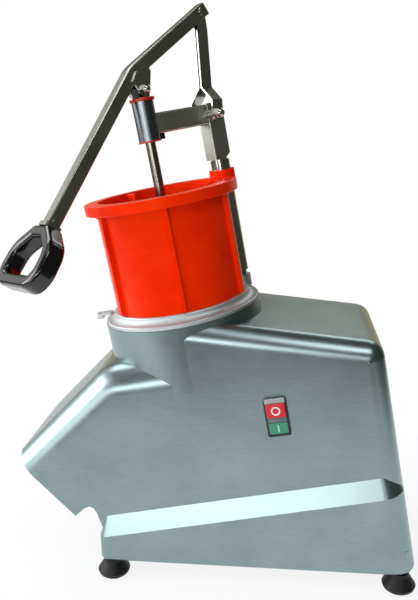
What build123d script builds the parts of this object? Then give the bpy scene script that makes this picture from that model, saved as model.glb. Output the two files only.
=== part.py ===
"""Vegetable cutting machine: polished cast body on four rubber feet, leaning drum with a
rotating slicing disc, orange feed hopper, and a pusher worked by a long hand lever."""
import os
from math import cos, radians, sin

from build123d import *

os.makedirs("parts", exist_ok=True)

# Tower: the drum, hopper, guide post and pusher all lean to the left on one axis.
# Its origin is the centre of the lid ring's outer lip. A height on the tower is called a,
# a distance across it in the side view is called u.
lean = radians(9.56)
tower_point = Vector(-107.9, 0, 377.8)
tower_x = Vector(cos(lean), 0, sin(lean))
tower_axis = Vector(-sin(lean), 0, cos(lean))
across = Vector(0, 1, 0)
tower = Plane(origin=tower_point, x_dir=tower_x, z_dir=tower_axis)

# The lever mechanism stands in a plane through the tower axis, turned in plan towards the
# guide post at the back right. Local x runs from the rod to the post, local y up the tower.
turn = radians(44)
lever_x = tower_x * cos(turn) + across * sin(turn)
pin_axis = tower_x * sin(turn) - across * cos(turn)
lever_plane = Plane(origin=tower_point, x_dir=lever_x, z_dir=pin_axis)
post_offset = 113.5
post = Plane(origin=tower_point + lever_x * post_offset, x_dir=lever_x, z_dir=tower_axis)
motor_offset = 190.0
motor = Plane(origin=tower_point + tower_x * motor_offset, x_dir=tower_x, z_dir=tower_axis)

# Body casting
wall = 6.0
body_half = 111.2
skirt_half = 122.0
body_bottom = 27.5
hood_round = 36.0
housing_round = 25.0
right_lean = 0.178
drum_radius = 112.0
chamber_radius = 105.0
drum_top = -5.3
floor_top = -50.0
floor_under = -56.0
post_boss_radius = 15.0
pin_radius = 8.0
running = 0.05
foot_x = 202.2
foot_y = 107.0
foot_base_radius = 23.0
foot_top_radius = 13.0
bench_bolt_radius = 8.5
bolt_radius = 4.0
plate_thick = 3.0

# Switch in the front wall, leaning with the tower
switch_width = 31.0
switch_height = 54.0
button_width = 25.4
stop_height = 20.0
start_height = 16.0
button_travel = 3.0
switch = Plane(origin=(31.6, -body_half, 254.8), x_dir=tower_x, z_dir=(0, -1, 0))

# Drive inside the housing
shaft_radius = 12.5
shaft_top_radius = 10.0
bearing_radius = 26.0
motor_radius = 58.0
motor_top = -98.0
motor_bottom = -244.0
belt_level = -272.0
large_pulley_radius = 78.0
small_pulley_radius = 30.0
pulley_width = 16.0

# Cutting disc and ejector
disc_radius = 102.5
disc_level = -17.5
disc_thick = 2.5
ejector_level = -44.0

# Lid ring and hopper
lid_radius = 111.0
collar_radius = 97.0
hopper_radius = 92.7
hopper_wall = 4.0
hopper_inner = hopper_radius - hopper_wall
rim_radius = 107.5
rim_low = 150.0
rim_top = 164.5
rib_start = -78.0

# Guide post, arm and pusher
post_radius = 14.0
arm_half = 12.0
arm_low = 241.0
arm_high = 269.0
sleeve_radius = 15.0
sleeve_low = 234.0
sleeve_high = 288.5
rod_radius = 7.0
rod_pin_level = 301.0
pusher_radius = 86.0
pusher_low = -4.0

# Lever and link, in the lever plane
tube_half = 9.0
tube_wall = 2.0
bend = Vector(-9.05, 324.3)
upper_way = Vector(cos(radians(27.9)), sin(radians(27.9)))
lower_way = Vector(cos(radians(226.3)), sin(radians(226.3)))
upper_length = 157.0
lower_length = 239.0
top_pin = Vector(123.0, 394.3)
foot_pin = Vector(105.0, 253.7)
link_half = 9.0
grip_half = 61.0
grip_length = 86.0
grip_depth = 26.0
grip_band = 17.0


def on_tower(u, a):
    """Side-view point for a distance u across the tower and a height a along it."""
    point = tower_point + tower_x * u + tower_axis * a
    return (point.X, point.Z)


def right_wall(z, inset=0.0):
    """Side-view point on the leaning right wall of the body at height z."""
    return (182.9 + right_lean * (265.6 - z) - inset, z)


def body_top(x, drop=0.0):
    """Side-view point on the sloping top of the motor housing."""
    return (x, 372.1 - 0.105 * (x + 4.0) - drop)


def at_depth(y):
    """Test for edges that lie in the upright planes at plus and minus y."""
    return lambda edge: abs(abs(edge.center().Y) - y) < 0.1


# Outer forms of the body: the discharge hood on the left, the motor housing on the right
# and the wider skirt, whose sloping shoulder is the bright band across the front.
shoulder = on_tower(-107.5, floor_top)
with BuildPart() as hood_form:
    with BuildSketch(Plane.XZ) as hood_side:
        with BuildLine():
            Polyline(
                (-200.0, 70.0),
                (-215.0, 76.0),
                (-222.5, 99.0),
                (-226.0, 104.5),
                (-232.1, 107.5),
                (-240.0, 104.0),
                (-253.4, 91.3),
                (-336.2, 177.2),
                shoulder,
                on_tower(12, floor_top),
                on_tower(12, -310),
                close=True,
            )
        make_face()
        fillet(hood_side.vertices().sort_by_distance((*shoulder, 0))[0], radius=60)
    extrude(amount=body_half, both=True)
    hood_edges = hood_form.edges().filter_by(at_depth(body_half))
    fillet(hood_edges.filter_by(lambda e: e.center().Z > 225), radius=hood_round)

corner_x = right_wall(354)[0]
with BuildPart() as housing_form:
    with BuildSketch(Plane.XZ):
        with BuildLine():
            Polyline(
                on_tower(0, -290),
                body_top(-107.0),
                body_top(corner_x),
                right_wall(body_bottom),
                (-56.0, body_bottom),
                close=True,
            )
        make_face()
    extrude(amount=body_half, both=True)
    long_edges = housing_form.edges().filter_by(at_depth(body_half))
    long_edges = long_edges.filter_by(lambda e: e.center().Z > 340 or e.center().X > 180)
    corner_edge = housing_form.edges().filter_by(Axis.Y).sort_by(Axis.X)
    corner_edge = corner_edge.filter_by(lambda e: e.center().Z > 340 and e.center().X > 100)
    fillet(long_edges + corner_edge, radius=housing_round)

with BuildPart() as skirt_form:
    with BuildSketch(Plane.XZ):
        with BuildLine():
            Polyline(
                (-218.5, body_bottom),
                (-218.5, 91.8),
                (right_wall(176)[0], 176.0),
                right_wall(body_bottom),
                close=True,
            )
        make_face()
    extrude(amount=skirt_half, both=True)
    upright = skirt_form.edges().filter_by(lambda e: abs(e.tangent_at(0.5).Z) > 0.8)
    fillet(upright.filter_by(lambda e: e.center().X > 100), radius=30)
    fillet(upright.filter_by(lambda e: e.center().X < -100), radius=12)
    band_face = skirt_form.faces().filter_by(lambda f: f.normal_at().Z > 0.8)[0]
    band_edges = band_face.edges().filter_by(lambda e: abs(e.center().Y) > 80)
    chamfer(band_edges, length=10.5, length2=27, reference=band_face)
    fillet(skirt_form.faces().sort_by(Axis.Z)[0].edges(), radius=5)

# Hollow spaces of the body: the discharge chute and the motor room
with BuildPart() as chute_space:
    with BuildSketch(Plane.XZ) as chute_side:
        with BuildLine():
            Polyline(
                on_tower(-55, floor_under),
                (-241.2, 104.0),
                (-256.0, 70.0),
                (-300.0, 45.0),
                (-373.9, 130.1),
                on_tower(-105.7, floor_under),
                close=True,
            )
        make_face()
        roof_corner = on_tower(-105.7, floor_under)
        fillet(chute_side.vertices().sort_by_distance((*roof_corner, 0))[0], radius=54)
    extrude(amount=body_half - wall, both=True)
    roof = chute_space.edges().filter_by(at_depth(body_half - wall))
    roof = roof.filter_by(lambda e: e.center().Z > 210 and abs(e.tangent_at(0.5).X) > 0.5)
    fillet(roof, radius=hood_round - wall)

with BuildPart() as motor_space:
    with BuildSketch(Plane.XZ):
        with BuildLine():
            Polyline(
                (-211.5, 10.0),
                (-211.5, 100.0),
                (-227.0, 122.0),
                on_tower(-67.0, floor_under - 32),
                on_tower(24, floor_under - 32),
                body_top(-80, wall),
                body_top(corner_x - wall, wall),
                right_wall(10, wall),
                close=True,
            )
        make_face()
    extrude(amount=body_half - wall, both=True)
    room_edges = motor_space.edges().filter_by(at_depth(body_half - wall))
    room_edges = room_edges.filter_by(lambda e: e.center().Z > 340 or e.center().X > 175)
    corner_edge = motor_space.edges().filter_by(Axis.Y)
    corner_edge = corner_edge.filter_by(lambda e: e.center().Z > 340 and e.center().X > 100)
    fillet(room_edges + corner_edge, radius=housing_round - wall)
    with BuildSketch(Plane.XZ):
        with BuildLine():
            Polyline(
                on_tower(-43.0, floor_under - 34),
                on_tower(-43.0, floor_under),
                on_tower(26, floor_under),
                on_tower(26, floor_under - 34),
                close=True,
            )
        make_face()
    extrude(amount=body_half - hood_round - 2, both=True)
    with BuildSketch(tower.offset(floor_under)):
        Circle(drum_radius)
    extrude(amount=90, mode=Mode.SUBTRACT)
    with BuildSketch(post.offset(-80)):
        Circle(post_boss_radius + 0.5)
    extrude(amount=90, mode=Mode.SUBTRACT)

with BuildPart() as skirt_space:
    with BuildSketch(Plane.XZ):
        with BuildLine():
            Polyline(
                (-211.5, 10.0),
                (-211.5, 62.0),
                right_wall(134, wall),
                right_wall(10, wall),
                close=True,
            )
        make_face()
    extrude(amount=skirt_half - wall, both=True)
    room_upright = skirt_space.edges().filter_by(lambda e: abs(e.tangent_at(0.5).Z) > 0.8)
    fillet(room_upright.filter_by(lambda e: e.center().X > 100), radius=24)
    fillet(room_upright.filter_by(lambda e: e.center().X < -100), radius=8)

# The body casting itself, with the drum, the hinge boss, the feet bosses and the lugs
with BuildPart() as body_casting:
    add(hood_form.part)
    add(housing_form.part)
    add(skirt_form.part)
    with BuildSketch(tower.offset(-95)):
        Circle(drum_radius)
    extrude(amount=95 + drum_top)
    with BuildSketch(post.offset(-78)):
        Circle(post_boss_radius)
    extrude(amount=78 + drum_top)
    with BuildSketch(tower.offset(drum_top)):
        Circle(drum_radius + 40)
    extrude(amount=30, mode=Mode.SUBTRACT)
    add(chute_space.part, mode=Mode.SUBTRACT)
    add(motor_space.part, mode=Mode.SUBTRACT)
    add(skirt_space.part, mode=Mode.SUBTRACT)
    with BuildSketch(tower.offset(floor_top)):
        Circle(chamber_radius)
    extrude(amount=60, mode=Mode.SUBTRACT)
    with BuildSketch(tower.offset(floor_under - 2)):
        Circle(chamber_radius)
        with Locations((-55, 0)):
            Rectangle(200, 220, align=(Align.MAX, Align.CENTER), mode=Mode.INTERSECT)
    extrude(amount=12, mode=Mode.SUBTRACT)
    with BuildSketch(tower.offset(floor_under - 2)):
        Circle(20)
    extrude(amount=12, mode=Mode.SUBTRACT)
    with BuildSketch(post.offset(-70)):
        Circle(pin_radius + running)
    extrude(amount=80, mode=Mode.SUBTRACT)
    # Bosses for the feet and for the base plate screws
    with BuildSketch(Plane.XY.offset(body_bottom + plate_thick)):
        with GridLocations(2 * foot_x, 2 * foot_y, 2, 2):
            Circle(10.5)
        with GridLocations(160, 216, 2, 2):
            Circle(9)
    extrude(amount=32)
    with BuildSketch(Plane.XY.offset(body_bottom)):
        with GridLocations(2 * foot_x, 2 * foot_y, 2, 2):
            Circle(bolt_radius + 0.2)
        with GridLocations(160, 216, 2, 2):
            Circle(2.7)
    extrude(amount=28, mode=Mode.SUBTRACT)
    # Lugs that the motor plate is screwed up against
    with BuildSketch(motor.offset(motor_bottom)):
        with GridLocations(0, 2 * 101, 1, 2):
            Rectangle(80, 14)
    extrude(amount=16)
    with BuildSketch(motor.offset(motor_bottom)):
        with GridLocations(60, 2 * 99, 2, 2):
            Circle(3.2)
    extrude(amount=12, mode=Mode.SUBTRACT)
    # Window for the switch
    with BuildSketch(switch.offset(-12)):
        Rectangle(button_width + 1.2, switch_height - 6)
    extrude(amount=20, mode=Mode.SUBTRACT)
    # Cable gland hole in the back wall
    with BuildSketch(Plane(origin=(150, skirt_half + 2, 62), x_dir=(1, 0, 0), z_dir=(0, -1, 0))):
        Circle(8.2)
    extrude(amount=14, mode=Mode.SUBTRACT)
body_casting.part.label = "body_casting"
export_step(body_casting.part, "parts/body_casting.step")

# Base plate, its screws and the four feet
with BuildPart() as base_plate:
    with BuildSketch(Plane.XY.offset(body_bottom)):
        with Locations((3.5, 0)):
            RectangleRounded(427, 230, 27)
        with Locations((0, 0)):
            with GridLocations(2 * foot_x, 2 * foot_y, 2, 2):
                Circle(bolt_radius + 0.2, mode=Mode.SUBTRACT)
            with GridLocations(160, 216, 2, 2):
                Circle(2.7, mode=Mode.SUBTRACT)
        with Locations((110, 0)):
            with GridLocations(0, 14, 1, 7):
                SlotOverall(90, 5, mode=Mode.SUBTRACT)
    extrude(amount=plate_thick)
base_plate.part.label = "base_plate"
export_step(base_plate.part, "parts/base_plate.step")

with BuildPart() as base_screws:
    with BuildSketch(Plane.XY.offset(body_bottom - 2.6)):
        with GridLocations(160, 216, 2, 2):
            Circle(4.6)
    extrude(amount=2.6)
    chamfer(base_screws.faces().filter_by(Axis.Z).group_by(Axis.Z)[0].edges(), length=1)
    with BuildSketch(Plane.XY.offset(body_bottom)):
        with GridLocations(160, 216, 2, 2):
            Circle(2.5)
    extrude(amount=18)
base_screws.part.label = "base_screws"
export_step(base_screws.part, "parts/base_screws.step")

with BuildPart() as rubber_feet:
    for x in (-foot_x, foot_x):
        for y in (-foot_y, foot_y):
            with BuildSketch(Plane(origin=(x, y, 0), x_dir=(1, 0, 0), z_dir=(0, -1, 0))):
                with BuildLine():
                    Polyline((0, 0), (17.5, 0), (21.5, 3.5), (foot_base_radius, 8))
                    Line((foot_base_radius, 8), (foot_top_radius + 1, 22))
                    Line((foot_top_radius + 1, 22), (foot_top_radius, body_bottom))
                    Line((foot_top_radius, body_bottom), (0, body_bottom))
                    Line((0, body_bottom), (0, 0))
                make_face()
            revolve(axis=Axis((x, y, 0), (0, 0, 1)))
    with BuildSketch(Plane.XY):
        with GridLocations(2 * foot_x, 2 * foot_y, 2, 2):
            Circle(bolt_radius + 0.2)
    extrude(amount=40, mode=Mode.SUBTRACT)
    with BuildSketch(Plane.XY):
        with GridLocations(2 * foot_x, 2 * foot_y, 2, 2):
            Circle(bench_bolt_radius)
    extrude(amount=4.2, mode=Mode.SUBTRACT)
    with BuildSketch(Plane.XY.offset(4.2)):
        with GridLocations(2 * foot_x, 2 * foot_y, 2, 2):
            Circle(7.9)
    extrude(amount=4.8, mode=Mode.SUBTRACT)
rubber_feet.part.label = "rubber_feet"
export_step(rubber_feet.part, "parts/rubber_feet.step")

with BuildPart() as foot_bolts:
    with BuildSketch(Plane.XY.offset(4.6)):
        with GridLocations(2 * foot_x, 2 * foot_y, 2, 2):
            RegularPolygon(7.4, 6)
    extrude(amount=4.4)
    with BuildSketch(Plane.XY.offset(9.0)):
        with GridLocations(2 * foot_x, 2 * foot_y, 2, 2):
            Circle(bolt_radius)
    extrude(amount=43)
foot_bolts.part.label = "foot_bolts"
export_step(foot_bolts.part, "parts/foot_bolts.step")

# Cable gland in the back wall of the skirt
gland_plane = Plane(origin=(150, skirt_half, 62), x_dir=(-1, 0, 0), z_dir=(0, 1, 0))
with BuildPart() as cord_gland:
    with BuildSketch(gland_plane.offset(-14)):
        Circle(8.0)
    extrude(amount=14)
    with BuildSketch(gland_plane):
        RegularPolygon(12.5, 6)
    extrude(amount=7)
    with BuildSketch(gland_plane.offset(7)):
        Circle(10.5)
    extrude(amount=9)
    fillet(cord_gland.edges().sort_by(Axis.Y)[-1], radius=3)
    with BuildSketch(gland_plane.offset(-12)):
        RegularPolygon(12.5, 6)
        Circle(8.0, mode=Mode.SUBTRACT)
    extrude(amount=5.5)
    with BuildSketch(gland_plane.offset(-14)):
        Circle(4.5)
    extrude(amount=32, mode=Mode.SUBTRACT)
cord_gland.part.label = "cord_gland"
export_step(cord_gland.part, "parts/cord_gland.step")

# Motor, hung under two lugs of the casting, its axis parallel to the tower
with BuildPart() as motor_plate:
    with BuildSketch(motor.offset(motor_bottom - 6)):
        with Locations((2, 0)):
            RectangleRounded(132, 208, 10)
        Circle(20, mode=Mode.SUBTRACT)
        with GridLocations(60, 2 * 99, 2, 2):
            Circle(3.2, mode=Mode.SUBTRACT)
        with PolarLocations(46, 4, start_angle=45):
            Circle(3.2, mode=Mode.SUBTRACT)
    extrude(amount=6)
motor_plate.part.label = "motor_plate"
export_step(motor_plate.part, "parts/motor_plate.step")

with BuildPart() as motor_screws:
    with BuildSketch(motor.offset(motor_bottom - 10)):
        with GridLocations(60, 2 * 99, 2, 2):
            RegularPolygon(5.5, 6)
        with PolarLocations(46, 4, start_angle=45):
            RegularPolygon(5.5, 6)
    extrude(amount=4)
    with BuildSketch(motor.offset(motor_bottom - 6)):
        with GridLocations(60, 2 * 99, 2, 2):
            Circle(3.0)
        with PolarLocations(46, 4, start_angle=45):
            Circle(3.0)
    extrude(amount=15)
motor_screws.part.label = "motor_screws"
export_step(motor_screws.part, "parts/motor_screws.step")

with BuildPart() as motor_housing:
    with BuildSketch(motor.offset(motor_bottom)):
        Circle(motor_radius - 5)
    extrude(amount=motor_top - motor_bottom)
    with BuildSketch(motor.offset(motor_bottom + 12)):
        Circle(motor_radius - 4)
        with PolarLocations(motor_radius - 3, 24):
            Rectangle(6, 3)
    extrude(amount=96)
    with BuildSketch(motor.offset(motor_top - 36)):
        Circle(motor_radius)
    extrude(amount=36)
    with BuildSketch(motor.offset(motor_bottom)):
        Circle(9.55)
    extrude(amount=60, mode=Mode.SUBTRACT)
    with BuildSketch(motor.offset(motor_bottom)):
        with PolarLocations(46, 4, start_angle=45):
            Circle(3.2)
    extrude(amount=11, mode=Mode.SUBTRACT)
motor_housing.part.label = "motor_housing"
export_step(motor_housing.part, "parts/motor_housing.step")

with BuildPart() as motor_shaft:
    with BuildSketch(motor.offset(belt_level - 12)):
        Circle(9.5)
    extrude(amount=motor_bottom + 50 - belt_level + 12)
motor_shaft.part.label = "motor_shaft"
export_step(motor_shaft.part, "parts/motor_shaft.step")

with BuildPart() as small_pulley:
    with BuildSketch(motor.offset(belt_level - pulley_width / 2)):
        Circle(small_pulley_radius + 4)
    extrude(amount=pulley_width)
    with BuildSketch(motor.offset(belt_level - pulley_width / 2 + 1.7)):
        Circle(small_pulley_radius + 6)
        Circle(small_pulley_radius, mode=Mode.SUBTRACT)
    extrude(amount=pulley_width - 3.4, mode=Mode.SUBTRACT)
    with BuildSketch(motor.offset(belt_level - pulley_width / 2)):
        Circle(9.5)
    extrude(amount=pulley_width, mode=Mode.SUBTRACT)
small_pulley.part.label = "small_pulley"
export_step(small_pulley.part, "parts/small_pulley.step")

with BuildPart() as large_pulley:
    with BuildSketch(tower.offset(belt_level - pulley_width / 2)):
        Circle(large_pulley_radius + 4)
        Circle(large_pulley_radius - 7, mode=Mode.SUBTRACT)
    extrude(amount=pulley_width)
    with BuildSketch(tower.offset(belt_level - 3)):
        Circle(large_pulley_radius - 5)
        with PolarLocations(47, 6):
            Circle(17, mode=Mode.SUBTRACT)
    extrude(amount=6)
    with BuildSketch(tower.offset(belt_level - pulley_width / 2)):
        Circle(24)
    extrude(amount=pulley_width + 6)
    with BuildSketch(tower.offset(belt_level - pulley_width / 2 + 1.7)):
        Circle(large_pulley_radius + 6)
        Circle(large_pulley_radius, mode=Mode.SUBTRACT)
    extrude(amount=pulley_width - 3.4, mode=Mode.SUBTRACT)
    with BuildSketch(tower.offset(belt_level - pulley_width)):
        Circle(shaft_radius)
    extrude(amount=3 * pulley_width, mode=Mode.SUBTRACT)
large_pulley.part.label = "large_pulley"
export_step(large_pulley.part, "parts/large_pulley.step")

with BuildPart() as drive_belt:
    with BuildSketch(tower.offset(belt_level - 6)):
        Circle(large_pulley_radius + 3.5)
        with Locations((motor_offset, 0)):
            Circle(small_pulley_radius + 3.5)
        make_hull()
        with BuildSketch(mode=Mode.SUBTRACT):
            Circle(large_pulley_radius + 0.3)
            with Locations((motor_offset, 0)):
                Circle(small_pulley_radius + 0.3)
            make_hull()
    extrude(amount=12)
drive_belt.part.label = "drive_belt"
export_step(drive_belt.part, "parts/drive_belt.step")

# Bearing housing under the chamber floor, with its two bearings and the shaft seal
with BuildPart() as bearing_housing:
    with BuildSketch(tower.offset(-160)):
        Circle(33)
    extrude(amount=160 + floor_under)
    with BuildSketch(tower.offset(floor_under - 8)):
        Circle(42)
    extrude(amount=8)
    with BuildSketch(tower.offset(-150)):
        Circle(22)
    extrude(amount=120, mode=Mode.SUBTRACT)
    with BuildSketch(tower.offset(-160)):
        Circle(bearing_radius)
    extrude(amount=16, mode=Mode.SUBTRACT)
    with BuildSketch(tower.offset(floor_under - 16)):
        Circle(bearing_radius)
    extrude(amount=16, mode=Mode.SUBTRACT)
bearing_housing.part.label = "bearing_housing"
export_step(bearing_housing.part, "parts/bearing_housing.step")

with BuildPart() as upper_bearing:
    with BuildSketch(tower.offset(floor_under - 16)):
        Circle(bearing_radius)
        Circle(shaft_radius + running, mode=Mode.SUBTRACT)
    extrude(amount=14)
upper_bearing.part.label = "upper_bearing"
export_step(upper_bearing.part, "parts/upper_bearing.step")

with BuildPart() as lower_bearing:
    with BuildSketch(tower.offset(-158)):
        Circle(bearing_radius)
        Circle(shaft_radius + running, mode=Mode.SUBTRACT)
    extrude(amount=14)
lower_bearing.part.label = "lower_bearing"
export_step(lower_bearing.part, "parts/lower_bearing.step")

with BuildPart() as shaft_seal:
    with BuildSketch(tower.offset(floor_under + 0.5)):
        Circle(20)
        Circle(shaft_radius + running, mode=Mode.SUBTRACT)
    extrude(amount=5)
shaft_seal.part.label = "shaft_seal"
export_step(shaft_seal.part, "parts/shaft_seal.step")

# Drive shaft, ejector and cutting disc on the tower axis
with BuildPart() as drive_shaft:
    with BuildSketch(tower.offset(belt_level - 14)):
        Circle(shaft_radius)
    extrude(amount=ejector_level - 2 - belt_level + 14)
    with BuildSketch(tower.offset(ejector_level - 2)):
        Circle(shaft_top_radius)
    extrude(amount=disc_level + 10 - ejector_level + 2)
drive_shaft.part.label = "drive_shaft"
export_step(drive_shaft.part, "parts/drive_shaft.step")

with BuildPart() as ejector_disc:
    with BuildSketch(tower.offset(ejector_level)):
        Circle(100)
    extrude(amount=3)
    with BuildSketch(tower.offset(ejector_level - 2)):
        Circle(18)
    extrude(amount=disc_level - ejector_level + 2)
    for k in range(4):
        with BuildSketch(tower.offset(ejector_level + 3)):
            with PolarLocations(56, 1, start_angle=90 * k + 20):
                Rectangle(84, 4)
        extrude(amount=14)
    with BuildSketch(tower.offset(ejector_level - 4)):
        Circle(shaft_top_radius)
    extrude(amount=40, mode=Mode.SUBTRACT)
ejector_disc.part.label = "ejector_disc"
export_step(ejector_disc.part, "parts/ejector_disc.step")

with BuildPart() as cutting_disc:
    with BuildSketch(tower.offset(disc_level)):
        Circle(disc_radius)
        Circle(shaft_top_radius, mode=Mode.SUBTRACT)
        with PolarLocations(58, 2, start_angle=0):
            with Locations((0, -9)):
                SlotOverall(74, 12, mode=Mode.SUBTRACT)
        with PolarLocations(58, 2, start_angle=0):
            with Locations((-24, 6), (24, 6)):
                Circle(1.7, mode=Mode.SUBTRACT)
    extrude(amount=disc_thick)
cutting_disc.part.label = "cutting_disc"
export_step(cutting_disc.part, "parts/cutting_disc.step")

disc_top = disc_level + disc_thick
with BuildPart() as disc_blades:
    with BuildSketch(tower.offset(disc_top)):
        with PolarLocations(58, 2, start_angle=0):
            with Locations((0, 1)):
                Rectangle(80, 20)
    extrude(amount=1.5)
    keen = disc_blades.edges().filter_by(lambda e: e.length > 70)
    keen = [e for e in keen if abs(tower.to_local_coords(e.center()).Z - disc_top) > 1]
    keen = [e for e in keen if tower.to_local_coords(e.center()).X
            * tower.to_local_coords(e.center()).Y < 0]
    chamfer(keen, length=1.2)
    with BuildSketch(tower.offset(disc_top)):
        with PolarLocations(58, 2, start_angle=0):
            with Locations((-24, 6), (24, 6)):
                Circle(1.7)
    extrude(amount=3, mode=Mode.SUBTRACT)
disc_blades.part.label = "disc_blades"
export_step(disc_blades.part, "parts/disc_blades.step")

with BuildPart() as blade_screws:
    with BuildSketch(tower.offset(disc_level)):
        with PolarLocations(58, 2, start_angle=0):
            with Locations((-24, 6), (24, 6)):
                Circle(1.6)
    extrude(amount=disc_thick + 1.5)
    with BuildSketch(tower.offset(disc_top + 1.5)):
        with PolarLocations(58, 2, start_angle=0):
            with Locations((-24, 6), (24, 6)):
                Circle(3.2)
    extrude(amount=1.2)
blade_screws.part.label = "blade_screws"
export_step(blade_screws.part, "parts/blade_screws.step")

with BuildPart() as disc_nut:
    with BuildSketch(tower.offset(disc_top)):
        RegularPolygon(15, 6)
        Circle(shaft_top_radius, mode=Mode.SUBTRACT)
    extrude(amount=7)
disc_nut.part.label = "disc_nut"
export_step(disc_nut.part, "parts/disc_nut.step")

# Hinge pin of the lid, fixed in the boss at the back right of the drum
with BuildPart() as pivot_pin:
    with BuildSketch(post.offset(-70)):
        Circle(pin_radius)
    extrude(amount=128)
    with BuildSketch(post.offset(12.4)):
        Circle(11)
    extrude(amount=7.2)
pivot_pin.part.label = "pivot_pin"
export_step(pivot_pin.part, "parts/pivot_pin.step")

# Switch: bezel, block behind it, raised stop button and flush start button
stop_y = 11.5
start_y = -15.0
with BuildPart() as switch_frame:
    with BuildSketch(switch):
        RectangleRounded(switch_width, switch_height, 2.5)
        with Locations((0, stop_y)):
            Rectangle(button_width + 0.6, stop_height + 0.6, mode=Mode.SUBTRACT)
        with Locations((0, start_y)):
            Rectangle(button_width + 0.6, start_height + 0.6, mode=Mode.SUBTRACT)
    extrude(amount=4)
    outer = switch_frame.faces().sort_by(Axis.Y)[0].outer_wire().edges()
    chamfer(outer, length=1)
    with BuildSketch(switch.offset(-button_travel - 0.6)):
        with Locations((0, (stop_y - stop_height / 2 + start_y + start_height / 2) / 2)):
            Rectangle(button_width, 6)
    extrude(amount=button_travel + 1)
switch_frame.part.label = "switch_frame"
export_step(switch_frame.part, "parts/switch_frame.step")

with BuildPart() as switch_block:
    with BuildSketch(switch.offset(-34)):
        Rectangle(button_width + 0.8, switch_height - 6.4)
    extrude(amount=26)
    with BuildSketch(switch.offset(-14)):
        with Locations((0, stop_y)):
            Rectangle(12, 12)
        with Locations((0, start_y)):
            Rectangle(12, 12)
    extrude(amount=10, mode=Mode.SUBTRACT)
    with BuildSketch(switch.offset(-8)):
        Rectangle(button_width + 0.8, switch_height - 6.4)
        Rectangle(button_width - 2.2, switch_height - 9.4, mode=Mode.SUBTRACT)
    extrude(amount=8 - button_travel - 0.6)
switch_block.part.label = "switch_block"
export_step(switch_block.part, "parts/switch_block.step")

with BuildPart() as stop_button:
    with BuildSketch(switch):
        with Locations((0, stop_y)):
            RectangleRounded(button_width, stop_height, 1.5)
    extrude(amount=8)
    fillet(stop_button.faces().sort_by(Axis.Y)[0].edges(), radius=1.5)
    with BuildSketch(switch.offset(-9)):
        with Locations((0, stop_y)):
            Rectangle(11, 11)
    extrude(amount=9)
stop_button.part.label = "stop_button"
export_step(stop_button.part, "parts/stop_button.step")

with BuildPart() as start_button:
    with BuildSketch(switch):
        with Locations((0, start_y)):
            RectangleRounded(button_width, start_height, 1.5)
    extrude(amount=4.5)
    fillet(start_button.faces().sort_by(Axis.Y)[0].edges(), radius=0.8)
    with BuildSketch(switch.offset(-9)):
        with Locations((0, start_y)):
            Rectangle(11, 11)
    extrude(amount=9)
start_button.part.label = "start_button"
export_step(start_button.part, "parts/start_button.step")

# Lid ring: flat lip over the drum, coved up to a collar round the hopper's foot
screw_angles = (25, 115, 205, 295)
with BuildPart() as lid_ring:
    with BuildSketch(Plane(origin=tower_point, x_dir=tower_x, z_dir=(0, -1, 0))) as section:
        with BuildLine():
            Line((hopper_radius + 0.2, -5), (lid_radius, -5))
            Line((lid_radius, -5), (lid_radius, -1.2))
            Line((lid_radius, -1.2), (lid_radius - 1.2, 0))
            Line((lid_radius - 1.2, 0), (104.5, 0))
            ThreePointArc((104.5, 0), (100.2, 2.2), (98.0, 8.0))
            Line((98.0, 8.0), (collar_radius, 9.5))
            Line((collar_radius, 9.5), (hopper_radius + 0.2, 9.5))
            Line((hopper_radius + 0.2, 9.5), (hopper_radius + 0.2, -5))
        make_face()
    revolve(axis=Axis(tower_point, tower_axis))
    with BuildSketch(post.offset(-5)):
        Circle(16)
    extrude(amount=17)
    with BuildSketch(tower.offset(-10)):
        Circle(hopper_radius + 0.2)
    extrude(amount=30, mode=Mode.SUBTRACT)
    with BuildSketch(post.offset(-10)):
        Circle(pin_radius + running)
    extrude(amount=40, mode=Mode.SUBTRACT)
    for angle in screw_angles:
        way = tower_x * cos(radians(angle)) + across * sin(radians(angle))
        spot = Plane(origin=tower_point + tower_axis * 4.6, x_dir=tower_axis, z_dir=way)
        with BuildSketch(spot.offset(85)):
            Circle(2.1)
        extrude(amount=11, mode=Mode.SUBTRACT)
lid_ring.part.label = "lid_ring"
export_step(lid_ring.part, "parts/lid_ring.step")

with BuildPart() as latch_tab:
    with BuildSketch(tower) as tab_side:
        with Locations((-117, 2)):
            RectangleRounded(23, 13, 3)
        with Locations((-124, 2)):
            Circle(2.2, mode=Mode.SUBTRACT)
    extrude(amount=4)
latch_tab.part.label = "latch_tab"
export_step(latch_tab.part, "parts/latch_tab.step")

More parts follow.
